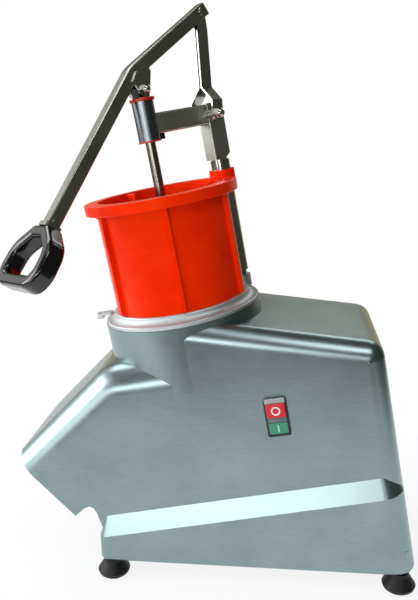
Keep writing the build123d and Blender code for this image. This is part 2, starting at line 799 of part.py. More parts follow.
# Feed hopper: moulded tube with a down-turned rim, outer ribs, two inner fins and the
# boss that steadies the guide post
fin_angles = (135.0, 15.0)
with BuildPart() as hopper:
    with BuildSketch(tower.offset(-5)):
        Circle(hopper_radius)
    extrude(amount=rim_top + 5)
    for angle in (0, 60, 180, 240, 300):
        with BuildSketch(tower.offset(11)):
            with PolarLocations(hopper_radius + 2, 1, start_angle=rib_start + angle):
                Rectangle(9, 4.5)
        extrude(amount=rim_low - 8)
    with BuildSketch(tower.offset(rim_low)):
        Circle(rim_radius)
    extrude(amount=rim_top - rim_low)
    with BuildSketch(tower.offset(rim_low - 1)):
        Circle(rim_radius - 4)
        Circle(hopper_radius, mode=Mode.SUBTRACT)
    extrude(amount=rim_top - rim_low - 3, mode=Mode.SUBTRACT)
    with BuildSketch(tower.offset(rim_low - 2)):
        for angle in (0, 60, 180, 240, 300):
            with PolarLocations(hopper_radius + 5, 1, start_angle=rib_start + angle):
                Rectangle(12, 4.5)
    extrude(amount=rim_top - rim_low - 1)
    with BuildSketch(post.offset(rim_low)):
        Circle(19)
    extrude(amount=24)
    with BuildSketch(tower.offset(-10)):
        Circle(hopper_inner)
    extrude(amount=200, mode=Mode.SUBTRACT)
    for angle in fin_angles:
        with BuildSketch(tower.offset(30)):
            with PolarLocations(hopper_inner - 10, 1, start_angle=angle):
                Rectangle(24, 4)
        extrude(amount=128)
    with BuildSketch(post.offset(100)):
        Circle(post_radius + 0.1)
    extrude(amount=100, mode=Mode.SUBTRACT)
    for angle in screw_angles:
        way = tower_x * cos(radians(angle)) + across * sin(radians(angle))
        spot = Plane(origin=tower_point + tower_axis * 4.6, x_dir=tower_axis, z_dir=way)
        with BuildSketch(spot.offset(85)):
            Circle(2.1)
        extrude(amount=10, mode=Mode.SUBTRACT)
        with BuildSketch(spot.offset(85)):
            Circle(4.0)
        extrude(amount=hopper_inner + 1.8 - 85, mode=Mode.SUBTRACT)
    rim_edges = hopper.edges().filter_by(GeomType.CIRCLE)
    rim_edges = rim_edges.filter_by(lambda e: abs(e.radius - rim_radius) < 0.01)
    fillet(rim_edges, radius=1.2)
hopper.part.label = "hopper"
export_step(hopper.part, "parts/hopper.step")

with BuildPart() as hopper_screws:
    for angle in screw_angles:
        way = tower_x * cos(radians(angle)) + across * sin(radians(angle))
        spot = Plane(origin=tower_point + tower_axis * 4.6, x_dir=tower_axis, z_dir=way)
        with BuildSketch(spot.offset(hopper_inner + 0.2)):
            Circle(3.7)
        extrude(amount=1.6)
        with BuildSketch(spot.offset(hopper_inner + 1.8)):
            Circle(2.0)
        extrude(amount=95.5 - hopper_inner - 1.8)
hopper_screws.part.label = "hopper_screws"
export_step(hopper_screws.part, "parts/hopper_screws.step")

# Guide post: tube over the hinge pin, welded head, arm and guide sleeve
with BuildPart() as post_tube:
    with BuildSketch(post.offset(20)):
        Circle(post_radius)
    extrude(amount=168)
    with BuildSketch(post.offset(188)):
        Circle(11.5)
    extrude(amount=18)
    with BuildSketch(post.offset(66)):
        Circle(11)
    extrude(amount=116, mode=Mode.SUBTRACT)
    with BuildSketch(post.offset(20)):
        Circle(pin_radius + running)
    extrude(amount=40, mode=Mode.SUBTRACT)
post_tube.part.label = "post_tube"
export_step(post_tube.part, "parts/post_tube.step")

with BuildPart() as post_head:
    with BuildSketch(lever_plane):
        with BuildLine():
            Polyline(
                (97.7, 189.5),
                (113.5, 188.0),
                (126.8, 197.0),
                (126.8, 265.0),
                (121.8, 270.0),
                (97.7, 270.0),
                close=True,
            )
        make_face()
    extrude(amount=arm_half, both=True)
    fillet(post_head.edges().filter_by(lambda e: abs(e.tangent_at(0.5).dot(tower_axis)) > 0.99),
           radius=2)
    with BuildSketch(post.offset(150)):
        Circle(post_radius + 2)
    extrude(amount=38, mode=Mode.SUBTRACT)
    with BuildSketch(post.offset(150)):
        Circle(11.5)
    extrude(amount=56, mode=Mode.SUBTRACT)
post_head.part.label = "post_head"
export_step(post_head.part, "parts/post_head.step")

arm_end = Plane(origin=tower_point + tower_axis * 255, x_dir=pin_axis, z_dir=lever_x)
with BuildPart() as pusher_arm:
    with BuildSketch(arm_end):
        RectangleRounded(2 * arm_half, arm_high - arm_low, 3)
        RectangleRounded(2 * arm_half - 6, arm_high - arm_low - 6, 1, mode=Mode.SUBTRACT)
    extrude(amount=97.7)
    with BuildSketch(tower.offset(sleeve_low)):
        Circle(sleeve_radius)
    extrude(amount=60, mode=Mode.SUBTRACT)
    with BuildSketch(Plane(origin=tower_point + lever_x * 21 + tower_axis * 238,
                           x_dir=lever_x, z_dir=tower_axis)):
        Circle(2.6)
    extrude(amount=7, mode=Mode.SUBTRACT)
pusher_arm.part.label = "pusher_arm"
export_step(pusher_arm.part, "parts/pusher_arm.step")

with BuildPart() as guide_sleeve:
    with BuildSketch(tower.offset(sleeve_low)):
        Circle(sleeve_radius)
        Circle(10, mode=Mode.SUBTRACT)
    extrude(amount=sleeve_high - sleeve_low)
guide_sleeve.part.label = "guide_sleeve"
export_step(guide_sleeve.part, "parts/guide_sleeve.step")

with BuildPart() as guide_bushes:
    with BuildSketch(tower.offset(sleeve_high - 20)):
        Circle(10)
    extrude(amount=20)
    with BuildSketch(tower.offset(sleeve_high)):
        Circle(15.8)
    extrude(amount=2.5)
    with BuildSketch(tower.offset(sleeve_low)):
        Circle(10)
    extrude(amount=20)
    with BuildSketch(tower.offset(sleeve_low - 2.5)):
        Circle(15.8)
    extrude(amount=2.5)
    with BuildSketch(tower.offset(sleeve_low - 10)):
        Circle(rod_radius + running)
    extrude(amount=80, mode=Mode.SUBTRACT)
guide_bushes.part.label = "guide_bushes"
export_step(guide_bushes.part, "parts/guide_bushes.step")

screw_spot = Plane(origin=tower_point + lever_x * 21, x_dir=lever_x, z_dir=tower_axis)
with BuildPart() as guide_screw:
    with BuildSketch(screw_spot.offset(233)):
        Circle(4.2)
    extrude(amount=8)
    with BuildSketch(screw_spot.offset(241)):
        Circle(2.5)
    extrude(amount=3)
    with BuildSketch(screw_spot.offset(233)):
        RegularPolygon(2.4, 6)
    extrude(amount=3, mode=Mode.SUBTRACT)
guide_screw.part.label = "guide_screw"
export_step(guide_screw.part, "parts/guide_screw.step")

# Pusher: rod through the sleeve, head under the lever, round plate in the hopper
with BuildPart() as pusher_rod:
    with BuildSketch(tower.offset(pusher_low + 1)):
        Circle(rod_radius)
    extrude(amount=295 - pusher_low - 1)
pusher_rod.part.label = "pusher_rod"
export_step(pusher_rod.part, "parts/pusher_rod.step")

with BuildPart() as rod_head:
    with BuildSketch(lever_plane):
        with Locations((0, rod_pin_level)):
            Circle(8.5)
            Rectangle(17, 9.3, align=(Align.CENTER, Align.MAX))
    extrude(amount=8.5, both=True)
    with BuildSketch(lever_plane):
        with Locations((0, rod_pin_level)):
            Circle(4 + running)
    extrude(amount=12, both=True, mode=Mode.SUBTRACT)
    with BuildSketch(tower.offset(285)):
        Circle(rod_radius)
    extrude(amount=10, mode=Mode.SUBTRACT)
rod_head.part.label = "rod_head"
export_step(rod_head.part, "parts/rod_head.step")

with BuildPart() as pusher_plate:
    with BuildSketch(tower.offset(pusher_low)):
        Circle(pusher_radius)
        for angle in fin_angles:
            with PolarLocations(hopper_inner - 10, 1, start_angle=angle):
                Rectangle(28, 8, mode=Mode.SUBTRACT)
    extrude(amount=6)
    with BuildSketch(tower.offset(pusher_low + 6)):
        Circle(17)
        with PolarLocations(37, 6, start_angle=45):
            Rectangle(52, 4)
    extrude(amount=8)
    with BuildSketch(tower.offset(pusher_low + 14)):
        Circle(15)
    extrude(amount=10)
    with BuildSketch(tower.offset(pusher_low + 1)):
        Circle(rod_radius)
    extrude(amount=40, mode=Mode.SUBTRACT)
pusher_plate.part.label = "pusher_plate"
export_step(pusher_plate.part, "parts/pusher_plate.step")

with BuildPart() as pusher_nut:
    with BuildSketch(tower.offset(pusher_low + 24)):
        RegularPolygon(12.5, 6)
        Circle(rod_radius, mode=Mode.SUBTRACT)
    extrude(amount=7)
pusher_nut.part.label = "pusher_nut"
export_step(pusher_nut.part, "parts/pusher_nut.step")

# Hand lever: one bent square tube. Its outline is set off from the bent centre line.
upper_side = Vector(-upper_way.Y, upper_way.X)
lower_side = Vector(lower_way.Y, -lower_way.X)
upper_end = bend + upper_way * upper_length
lower_end = bend + lower_way * lower_length
miter = (upper_side + lower_side).normalized()
miter_scale = 1 / miter.dot(upper_side)


def tube_outline(half, extra=0.0):
    """Corner points of the bent tube at a distance half from its centre line."""
    top = upper_end + upper_way * extra
    low = lower_end + lower_way * extra
    points = [
        top + upper_side * half,
        bend + miter * (half * miter_scale),
        low + lower_side * half,
        low - lower_side * half,
        bend - miter * (half * miter_scale),
        top - upper_side * half,
    ]
    return [(point.X, point.Y) for point in points]


with BuildPart() as lever_tube:
    outline = tube_outline(tube_half)
    with BuildSketch(lever_plane) as tube_side:
        with BuildLine():
            Polyline(*outline, close=True)
        make_face()
        fillet(tube_side.vertices().sort_by_distance((*outline[1], 0))[0], radius=50)
        fillet(tube_side.vertices().sort_by_distance((*outline[4], 0))[0], radius=32)
    extrude(amount=tube_half, both=True)
    fillet(lever_tube.edges().filter_by(lambda e: e.length > 20), radius=2.2)
    bore = tube_outline(tube_half - tube_wall, 5)
    with BuildSketch(lever_plane) as bore_side:
        with BuildLine():
            Polyline(*bore, close=True)
        make_face()
        fillet(bore_side.vertices().sort_by_distance((*bore[1], 0))[0], radius=48)
        fillet(bore_side.vertices().sort_by_distance((*bore[4], 0))[0], radius=34)
    extrude(amount=tube_half - tube_wall, both=True, mode=Mode.SUBTRACT)
    # Slot in the underside at the top end, where the link hangs out
    slot_middle = top_pin - upper_way * 6 - upper_side * 10
    with BuildSketch(lever_plane):
        with Locations(Location((slot_middle.X, slot_middle.Y, 0), (0, 0, 27.9))):
            Rectangle(40, 12)
    extrude(amount=tube_half - tube_wall, both=True, mode=Mode.SUBTRACT)
    with BuildSketch(lever_plane):
        with Locations((top_pin.X, top_pin.Y)):
            Circle(5)
    extrude(amount=20, both=True, mode=Mode.SUBTRACT)
    grip_hole = lower_end - lower_way * 12
    with BuildSketch(lever_plane):
        with Locations((grip_hole.X, grip_hole.Y)):
            Circle(2.6)
    extrude(amount=20, both=True, mode=Mode.SUBTRACT)
lever_tube.part.label = "lever_tube"
export_step(lever_tube.part, "parts/lever_tube.step")

with BuildPart() as lever_lugs:
    with BuildSketch(lever_plane.offset(tube_half)):
        with BuildLine():
            Polyline(
                (-9.0, 301.0), (-15.0, 313.0), (-7.0, 325.0), (12.0, 331.0),
                (15.3, 323.0), (9.2, 301.0), close=True,
            )
        make_face()
        with Locations((0, rod_pin_level)):
            Circle(9.2)
            Circle(4.0, mode=Mode.SUBTRACT)
    extrude(amount=3)
    mirror(about=lever_plane)
lever_lugs.part.label = "lever_lugs"
export_step(lever_lugs.part, "parts/lever_lugs.step")

with BuildPart() as rod_pin:
    with BuildSketch(lever_plane.offset(-12)):
        with Locations((0, rod_pin_level)):
            Circle(4)
    extrude(amount=24)
    with BuildSketch(lever_plane.offset(-18)):
        with Locations((0, rod_pin_level)):
            Circle(9.2)
    extrude(amount=6)
    with BuildSketch(lever_plane.offset(12)):
        with Locations((0, rod_pin_level)):
            RegularPolygon(6.6, 6)
    extrude(amount=5)
    with BuildSketch(lever_plane.offset(17)):
        with Locations((0, rod_pin_level)):
            Circle(5.6)
    extrude(amount=4, taper=35)
rod_pin.part.label = "rod_pin"
export_step(rod_pin.part, "parts/rod_pin.step")

with BuildPart() as lever_pin:
    with BuildSketch(lever_plane.offset(-9)):
        with Locations((top_pin.X, top_pin.Y)):
            Circle(5)
    extrude(amount=18)
    for side, base in ((1, 9), (-1, -10.6)):
        with BuildSketch(lever_plane.offset(base)):
            with Locations((top_pin.X, top_pin.Y)):
                Circle(6.2)
        extrude(amount=1.6)
lever_pin.part.label = "lever_pin"
export_step(lever_pin.part, "parts/lever_pin.step")

# Black loop grip on a tongue inside the tube, with its ferrule and cross screw
grip_point = tower_point + lever_x * lower_end.X + tower_axis * lower_end.Y
grip_way = lever_x * lower_way.X + tower_axis * lower_way.Y
grip = Plane(origin=grip_point, x_dir=grip_way, z_dir=grip_way.cross(pin_axis))
with BuildPart() as lever_grip:
    with BuildSketch(grip) as loop:
        with BuildLine():
            Polyline(
                (0, -19), (0, 19), (27, grip_half - 3), (64, grip_half),
                (grip_length, grip_half - 14), (grip_length, 14 - grip_half),
                (64, -grip_half), (27, 3 - grip_half), close=True,
            )
        make_face()
        fillet(loop.vertices().filter_by(lambda v: v.X > 50), radius=26)
        fillet(loop.vertices().filter_by(lambda v: 20 < v.X < 35), radius=36)
        offset(amount=-grip_band, mode=Mode.SUBTRACT)
    extrude(amount=grip_depth / 2, both=True)
    rounding = lever_grip.edges().filter_by(
        lambda e: abs(abs(grip.to_local_coords(e.center()).Z) - grip_depth / 2) < 0.1
    )
    fillet(rounding, radius=6)
    with BuildSketch(grip.offset(0)):
        with Locations((-12, 0)):
            Rectangle(36, 2 * (tube_half - tube_wall) - 0.6)
    extrude(amount=tube_half - tube_wall - 0.3, both=True)
    with BuildSketch(lever_plane):
        with Locations((grip_hole.X, grip_hole.Y)):
            Circle(2.6)
    extrude(amount=20, both=True, mode=Mode.SUBTRACT)
lever_grip.part.label = "lever_grip"
export_step(lever_grip.part, "parts/lever_grip.step")

ferrule_plane = Plane(origin=grip_point, x_dir=pin_axis, z_dir=grip_way)
with BuildPart() as grip_ferrule:
    with BuildSketch(ferrule_plane.offset(-6)):
        RectangleRounded(23, 23, 3)
        RectangleRounded(2 * tube_half + 0.2, 2 * tube_half + 0.2, 2.2, mode=Mode.SUBTRACT)
    extrude(amount=6)
grip_ferrule.part.label = "grip_ferrule"
export_step(grip_ferrule.part, "parts/grip_ferrule.step")

with BuildPart() as grip_screw:
    with BuildSketch(lever_plane.offset(-tube_half)):
        with Locations((grip_hole.X, grip_hole.Y)):
            Circle(2.5)
    extrude(amount=2 * tube_half)
    with BuildSketch(lever_plane.offset(tube_half)):
        with Locations((grip_hole.X, grip_hole.Y)):
            Circle(4.5)
    extrude(amount=2)
grip_screw.part.label = "grip_screw"
export_step(grip_screw.part, "parts/grip_screw.step")

# Link: two flat strips side by side at the lever, jogged apart to pass the post head
link_length = (top_pin - foot_pin).length
fall = (foot_pin - top_pin).normalized()
link_way = lever_x * fall.X + tower_axis * fall.Y
link_point = tower_point + lever_x * top_pin.X + tower_axis * top_pin.Y
link_edge = Plane(origin=link_point, x_dir=link_way, z_dir=link_way.cross(pin_axis))
link_face = Plane(origin=link_point, x_dir=link_way, z_dir=pin_axis)
with BuildPart() as link_front_strip:
    with BuildSketch(link_edge):
        with BuildLine():
            Polyline(
                (-8, 1.5), (103.8, 1.5), (124.1, 23.5), (152, 23.5),
                (152, 26.5), (122.8, 26.5), (102.5, 4.5), (-8, 4.5), close=True,
            )
        make_face()
    extrude(amount=link_half, both=True)
    with BuildSketch(link_face) as strip_face:
        Circle(6.5)
        with BuildLine():
            Polyline((0, 6.5), (24, link_half), (link_length, link_half),
                     (link_length, -link_half), (24, -link_half), (0, -6.5), close=True)
        make_face()
        with Locations((link_length, 0)):
            Circle(link_half)
            Circle(5, mode=Mode.SUBTRACT)
        Circle(5 + running, mode=Mode.SUBTRACT)
    extrude(amount=40, mode=Mode.INTERSECT)
link_front_strip.part.label = "link_front_strip"
export_step(link_front_strip.part, "parts/link_front_strip.step")

with BuildPart() as link_rear_strip:
    mirror(link_front_strip.part, about=lever_plane)
link_rear_strip.part.label = "link_rear_strip"
export_step(link_rear_strip.part, "parts/link_rear_strip.step")

with BuildPart() as link_spacers:
    with BuildSketch(lever_plane.offset(arm_half + 0.4)):
        with Locations((foot_pin.X, foot_pin.Y)):
            Circle(8.5)
            Circle(5, mode=Mode.SUBTRACT)
    extrude(amount=23.5 - arm_half - 0.4)
    mirror(about=lever_plane)
link_spacers.part.label = "link_spacers"
export_step(link_spacers.part, "parts/link_spacers.step")

with BuildPart() as link_bolts:
    with BuildSketch(lever_plane.offset(arm_half + 0.4)):
        with Locations((foot_pin.X, foot_pin.Y)):
            Circle(5)
    extrude(amount=26.5 - arm_half - 0.4)
    with BuildSketch(lever_plane.offset(26.5)):
        with Locations((foot_pin.X, foot_pin.Y)):
            RegularPolygon(8, 6)
    extrude(amount=4.5)
    with BuildSketch(lever_plane.offset(31)):
        with Locations((foot_pin.X, foot_pin.Y)):
            Circle(6.6)
    extrude(amount=4.5, taper=35)
    mirror(about=lever_plane)
link_bolts.part.label = "link_bolts"
export_step(link_bolts.part, "parts/link_bolts.step")
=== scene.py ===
from math import cos, radians, sin

import bpy
from mathutils import Euler, Matrix, Vector


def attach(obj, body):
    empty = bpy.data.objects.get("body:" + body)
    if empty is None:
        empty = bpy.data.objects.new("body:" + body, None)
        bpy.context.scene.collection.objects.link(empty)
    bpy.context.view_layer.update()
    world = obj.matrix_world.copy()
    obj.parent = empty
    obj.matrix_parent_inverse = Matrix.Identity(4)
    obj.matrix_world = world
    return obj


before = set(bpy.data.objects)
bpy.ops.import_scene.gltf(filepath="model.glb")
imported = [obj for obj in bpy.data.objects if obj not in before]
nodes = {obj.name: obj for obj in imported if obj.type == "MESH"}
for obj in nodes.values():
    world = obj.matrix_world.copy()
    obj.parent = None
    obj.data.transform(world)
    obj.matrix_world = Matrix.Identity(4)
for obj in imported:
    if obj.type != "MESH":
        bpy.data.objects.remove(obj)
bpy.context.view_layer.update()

# Camera: it stands in front of the machine at the height of the lever, looks a little down and
# to the left, and is rolled by a degree. Its focal length is given in pixels of the picture.
camera_place = (0.0409, -0.9651, 0.6470)
look_down, look_left, roll = 15.19, 6.5, -0.97
focal_px, picture_height_px, sensor_mm = 697.4, 600, 36
camera_data = bpy.data.cameras.new("photo_camera")
camera_data.sensor_width = sensor_mm
camera_data.lens = sensor_mm * focal_px / picture_height_px
camera = bpy.data.objects.new("photo_camera", camera_data)
bpy.context.collection.objects.link(camera)
camera_turn = Euler((radians(90 - look_down), 0, radians(look_left))).to_matrix()
camera_turn = camera_turn @ Matrix.Rotation(radians(roll), 3, "Z")
camera.matrix_world = Matrix.Translation(camera_place) @ camera_turn.to_4x4()
bpy.context.scene.camera = camera


# Floor: plain pale vinyl, cut wide enough for the shadow. To the eye, and in what metal shows,
# it whitens to the backdrop's white, fully so from half a metre away from the machine.
def linear(colour):
    """An sRGB hex colour as the linear colour that Blender's sockets take."""
    parts = [int(colour[i:i + 2], 16) / 255 for i in (0, 2, 4)]
    return [p / 12.92 if p <= 0.04045 else ((p + 0.055) / 1.055) ** 2.4 for p in parts] + [1]


def add_node(tree, kind, values=None, links=None, **settings):
    """Adds a node with its settings, its fixed socket values and its incoming links."""
    made = tree.nodes.new("ShaderNode" + kind)
    for name, setting in settings.items():
        setattr(made, name, setting)
    for socket, value in (values or {}).items():
        made.inputs[socket].default_value = value
    for socket, (source, output) in (links or {}).items():
        tree.links.new(source.outputs[output], made.inputs[socket])
    return made


floor_middle, floor_size = (-0.25, 0.6, 0), (2.7, 2.9, 1)
pure_white = (1, 1, 1, 1)
# Sockets of a Mix node set to colour, whose names its other kinds have too
tone_a, tone_b, mixed_tone = 6, 7, 2

bpy.ops.object.select_all(action="DESELECT")
bpy.ops.mesh.primitive_plane_add(size=1, location=floor_middle)
floor = bpy.context.object
floor.name = "studio_floor"
floor.scale = floor_size
bpy.ops.object.transform_apply(location=True, rotation=False, scale=True)
vinyl = bpy.data.materials.new("pale_vinyl_floor")
vinyl.use_nodes = True
tree = vinyl.node_tree
shader = tree.nodes["Principled BSDF"]
place = add_node(tree, "TexCoord")
cloud = add_node(tree, "TexNoise", {"Scale": 1.5}, {"Vector": (place, "Object")})
tint = add_node(tree, "Mix", {tone_a: linear("f0f1f1"), tone_b: linear("f6f7f7")},
                {"Factor": (cloud, 0)}, data_type="RGBA")
tree.links.new(tint.outputs[mixed_tone], shader.inputs["Base Color"])
shader.inputs["Roughness"].default_value = 0.75
path = add_node(tree, "LightPath")
shown = add_node(tree, "Math", None, {0: (path, "Is Camera Ray"), 1: (path, "Is Glossy Ray")},
                 operation="MAXIMUM")
shown = add_node(tree, "Math", None, {0: (shown, 0), 1: (path, "Is Transmission Ray")},
                 operation="MAXIMUM")
away = add_node(tree, "VectorMath", None, {0: (place, "Object")}, operation="LENGTH")
spread = add_node(tree, "MapRange",
                  {"From Min": 0.28, "From Max": 0.50, "To Min": 0.84, "To Max": 1.0},
                  {"Value": (away, "Value")})
whiten = add_node(tree, "Math", None, {0: (shown, 0), 1: (spread, 0)}, operation="MULTIPLY")
white = add_node(tree, "Emission", {"Color": pure_white, "Strength": 1.0})
paper = add_node(tree, "MixShader", None, {"Fac": (whiten, 0), 1: (shader, 0), 2: (white, 0)})
tree.links.new(paper.outputs[0], tree.nodes["Material Output"].inputs["Surface"])
floor.data.materials.append(vinyl)

# Studio light: eight soft boxes. Each row gives a box's name, its middle, the point that it
# faces, its width and height in metres, and its watts.
for name, middle, target, width, height, watts in (
    ("front_box", (-0.75, -3.0, 0.64), (-0.1, 0, 0.2), 1.8, 0.6, 22),
    ("left_box", (-2.2, -0.35, 0.95), (0, 0, 0.3), 1.8, 1.2, 32),
    ("low_box", (-1.5, -1.5, 0.3), (-0.2, 0, 0.2), 0.9, 0.5, 4),
    ("right_box", (0.45, -3.0, 1.10), (0, 0, 0.3), 1.3, 0.55, 6),
    ("top_box", (-0.5, -0.6, 2.6), (0, 0, 0.3), 1.2, 1.0, 6),
    ("back_box", (0.8, 2.2, 2.0), (0, 0, 0.3), 1.6, 1.0, 11),
    ("hood_box", (-1.17, 0.81, 2.3), (-0.17, -0.1, 0.3), 1.1, 0.9, 14),
    ("edge_box", (0.62, -1.15, 2.05), (0.06, -0.1, 0.35), 0.9, 0.8, 9),
):
    lamp = bpy.data.lights.new(name, "AREA")
    lamp.shape = "RECTANGLE"
    lamp.size, lamp.size_y = width, height
    lamp.energy = watts
    box = bpy.data.objects.new(name, lamp)
    bpy.context.collection.objects.link(box)
    facing = (Vector(target) - Vector(middle)).to_track_quat("-Z", "Y").to_matrix().to_4x4()
    box.matrix_world = Matrix.Translation(middle) @ facing

# Studio room: white to the eye. In what metal shows, a warm backdrop stands low behind the
# machine, a window with a sill takes up the left, and the rest of the room is dim. The air
# itself gives soft light, more of it from the left.
world = bpy.data.worlds.new("studio")
bpy.context.scene.world = world
world.use_nodes = True
tree = world.node_tree
tree.nodes.clear()
path = add_node(tree, "LightPath")
place = add_node(tree, "TexCoord")
part = add_node(tree, "SeparateXYZ", None, {"Vector": (place, "Generated")})
ramps = {}
for name, axis, start, end, at_start, at_end in (
    ("behind", "Y", 0.55, 0.9, 0.0, 0.9),
    ("height", "Z", 0.06, 0.30, 1.0, 0.1),
    ("window", "X", -0.25, -0.75, 0.0, 1.0),
    ("jamb", "Y", 0.74, 0.58, 0.2, 1.0),
    ("sill", "Z", -0.12, 0.04, 0.1, 1.0),
    ("side", "X", -0.9, 0.45, 0.0, 1.0),
):
    ramps[name] = add_node(
        tree, "MapRange",
        {"From Min": start, "From Max": end, "To Min": at_start, "To Max": at_end},
        {"Value": (part, axis)})
behind = add_node(tree, "Math", None, {0: (ramps["behind"], 0), 1: (ramps["height"], 0)},
                  operation="MULTIPLY")
window = add_node(tree, "Math", None, {0: (ramps["window"], 0), 1: (ramps["jamb"], 0)},
                  operation="MULTIPLY")
window = add_node(tree, "Math", None, {0: (window, 0), 1: (ramps["sill"], 0)},
                  operation="MULTIPLY")
backdrop = add_node(tree, "Mix", {tone_a: linear("4c4e47"), tone_b: linear("dbc6a0")},
                    {"Factor": (behind, 0)}, data_type="RGBA")
walls = add_node(tree, "Mix", {tone_b: linear("f2f2ee")},
                 {"Factor": (window, 0), tone_a: (backdrop, mixed_tone)}, data_type="RGBA")
air = add_node(tree, "Mix", {tone_a: linear("f2f6ff"), tone_b: linear("40403f")},
               {"Factor": (ramps["side"], 0)}, data_type="RGBA")
soft = add_node(tree, "Background", {"Strength": 0.95}, {"Color": (air, mixed_tone)})
room = add_node(tree, "Background", {"Strength": 1.0}, {"Color": (walls, mixed_tone)})
white = add_node(tree, "Background", {"Color": pure_white, "Strength": 1.0})
mirrored = add_node(tree, "Math", None,
                    {0: (path, "Is Glossy Ray"), 1: (path, "Is Transmission Ray")},
                    operation="MAXIMUM")
near = add_node(tree, "MixShader", None, {"Fac": (mirrored, 0), 1: (soft, 0), 2: (room, 0)})
seen = add_node(tree, "MixShader", None,
                {"Fac": (path, "Is Camera Ray"), 1: (near, 0), 2: (white, 0)})
add_node(tree, "OutputWorld", None, {"Surface": (seen, 0)})
bpy.context.scene.view_settings.view_transform = "Standard"


# Cast body: one sand casting in aluminium, ground and brushed by hand to a satin shine. The
# housing of the shaft's bearings under the chamber floor is a smaller casting, left as cast.
def worked_metal(name, dark, light, rough, grain, way=(1, 0, 0), depth=0.02):
    """Metal with tool marks: two tones, low and high roughness, the marks' width and length
    in mm, the way that they run and their depth in mm."""
    metal = bpy.data.materials.new(name)
    metal.use_nodes = True
    tree = metal.node_tree
    shader = tree.nodes["Principled BSDF"]
    shader.inputs["Metallic"].default_value = 1
    place = add_node(tree, "TexCoord")
    turn = Vector(way).to_track_quat("X", "Z").inverted().to_euler()
    turned = add_node(tree, "Mapping", {"Rotation": turn}, {"Vector": (place, "Object")})
    mark_width, mark_length = grain
    stretch = (1000 / mark_length, 1000 / mark_width, 1000 / mark_width)
    drawn = add_node(tree, "Mapping", {"Scale": stretch}, {"Vector": (turned, 0)})
    marks = add_node(tree, "TexNoise", {"Scale": 1, "Detail": 3}, {"Vector": (drawn, 0)})
    cloud = add_node(tree, "TexNoise", {"Scale": 11, "Detail": 4, "Roughness": 0.6},
                     {"Vector": (place, "Object")})
    both = add_node(tree, "Mix", {"Factor": 0.35}, {"A": (cloud, 0), "B": (marks, 0)},
                    data_type="FLOAT")
    tone = add_node(tree, "MapRange", {"From Min": 0.35, "From Max": 0.65}, {"Value": (both, 0)})
    tint = add_node(tree, "Mix", {tone_a: linear(dark), tone_b: linear(light)},
                    {"Factor": (tone, 0)}, data_type="RGBA")
    tree.links.new(tint.outputs[mixed_tone], shader.inputs["Base Color"])
    gloss = add_node(tree, "MapRange",
                     {"From Min": 0.3, "From Max": 0.7, "To Min": rough[0], "To Max": rough[1]},
                     {"Value": (both, 0)})
    tree.links.new(gloss.outputs[0], shader.inputs["Roughness"])
    bump = add_node(tree, "Bump", {"Strength": 0.6, "Distance": depth / 1000},
                    {"Height": (marks, 0)})
    tree.links.new(bump.outputs[0], shader.inputs["Normal"])
    return metal


def dress(material, *names):
    """Gives CAD nodes their material."""
    for name in names:
        nodes[name].material_slots[0].material = material


satin_aluminium = worked_metal("satin_cast_aluminium", "85989a", "95a8aa", (0.27, 0.36),
                               (1.6, 14), depth=0.012)
dress(satin_aluminium, "body_casting")
raw_aluminium = worked_metal("sand_cast_aluminium", "8d9292", "a0a5a4", (0.5, 0.62),
                             (1.5, 1.5), depth=0.15)
dress(raw_aluminium, "bearing_housing")

# Base plate and motor plate of galvanised sheet, dull and faintly spangled. Zinc-plated screws
# and bolts hold them, the feet and the hopper; their plating is smoother than the sheet.
zinc = worked_metal("galvanised_steel", "9ba0a2", "b3b8b9", (0.32, 0.5), (3, 5), depth=0.01)
dress(zinc, "base_plate", "motor_plate")
zinc_screws = worked_metal("zinc_plated_screws", "a8aaa6", "bcbdb8", (0.22, 0.32), (0.5, 2),
                           depth=0.01)
dress(zinc_screws, "base_screws", "foot_bolts", "motor_screws", "hopper_screws", "blade_screws")


# Rubber: four moulded feet, each bolted through its middle into a boss of the casting, the seal
# round the disc's shaft and the belt. It is nearly black, with a soft, even shine.
def moulded(name, dark, light, rough, spot_mm, depth, ior=1.5):
    """Moulded plastic or rubber: two near tones, low and high roughness, the size of the
    surface's unevenness in mm and its depth in mm."""
    plastic = bpy.data.materials.new(name)
    plastic.use_nodes = True
    tree = plastic.node_tree
    shader = tree.nodes["Principled BSDF"]
    shader.inputs["IOR"].default_value = ior
    place = add_node(tree, "TexCoord")
    cloud = add_node(tree, "TexNoise", {"Scale": 16, "Detail": 3}, {"Vector": (place, "Object")})
    spots = add_node(tree, "TexNoise", {"Scale": 1000 / spot_mm, "Detail": 2},
                     {"Vector": (place, "Object")})
    tone = add_node(tree, "MapRange", {"From Min": 0.35, "From Max": 0.65}, {"Value": (cloud, 0)})
    tint = add_node(tree, "Mix", {tone_a: linear(dark), tone_b: linear(light)},
                    {"Factor": (tone, 0)}, data_type="RGBA")
    tree.links.new(tint.outputs[mixed_tone], shader.inputs["Base Color"])
    gloss = add_node(tree, "MapRange",
                     {"From Min": 0.3, "From Max": 0.7, "To Min": rough[0], "To Max": rough[1]},
                     {"Value": (cloud, 0)})
    tree.links.new(gloss.outputs[0], shader.inputs["Roughness"])
    bump = add_node(tree, "Bump", {"Strength": 0.5, "Distance": depth / 1000},
                    {"Height": (spots, 0)})
    tree.links.new(bump.outputs[0], shader.inputs["Normal"])
    return plastic


black_rubber = moulded("nitrile_rubber", "07090b", "0d0f12", (0.42, 0.56), 0.8, 0.03, 1.38)
dress(black_rubber, "rubber_feet", "shaft_seal", "drive_belt")

# Cord gland, screwed into the back wall and held by a nut inside, and the switch's contact
# block: moulded black nylon, a little shinier than the rubber.
black_nylon = moulded("black_nylon", "0e0f10", "1a1b1d", (0.3, 0.42), 1.2, 0.04)
dress(black_nylon, "cord_gland", "switch_block")

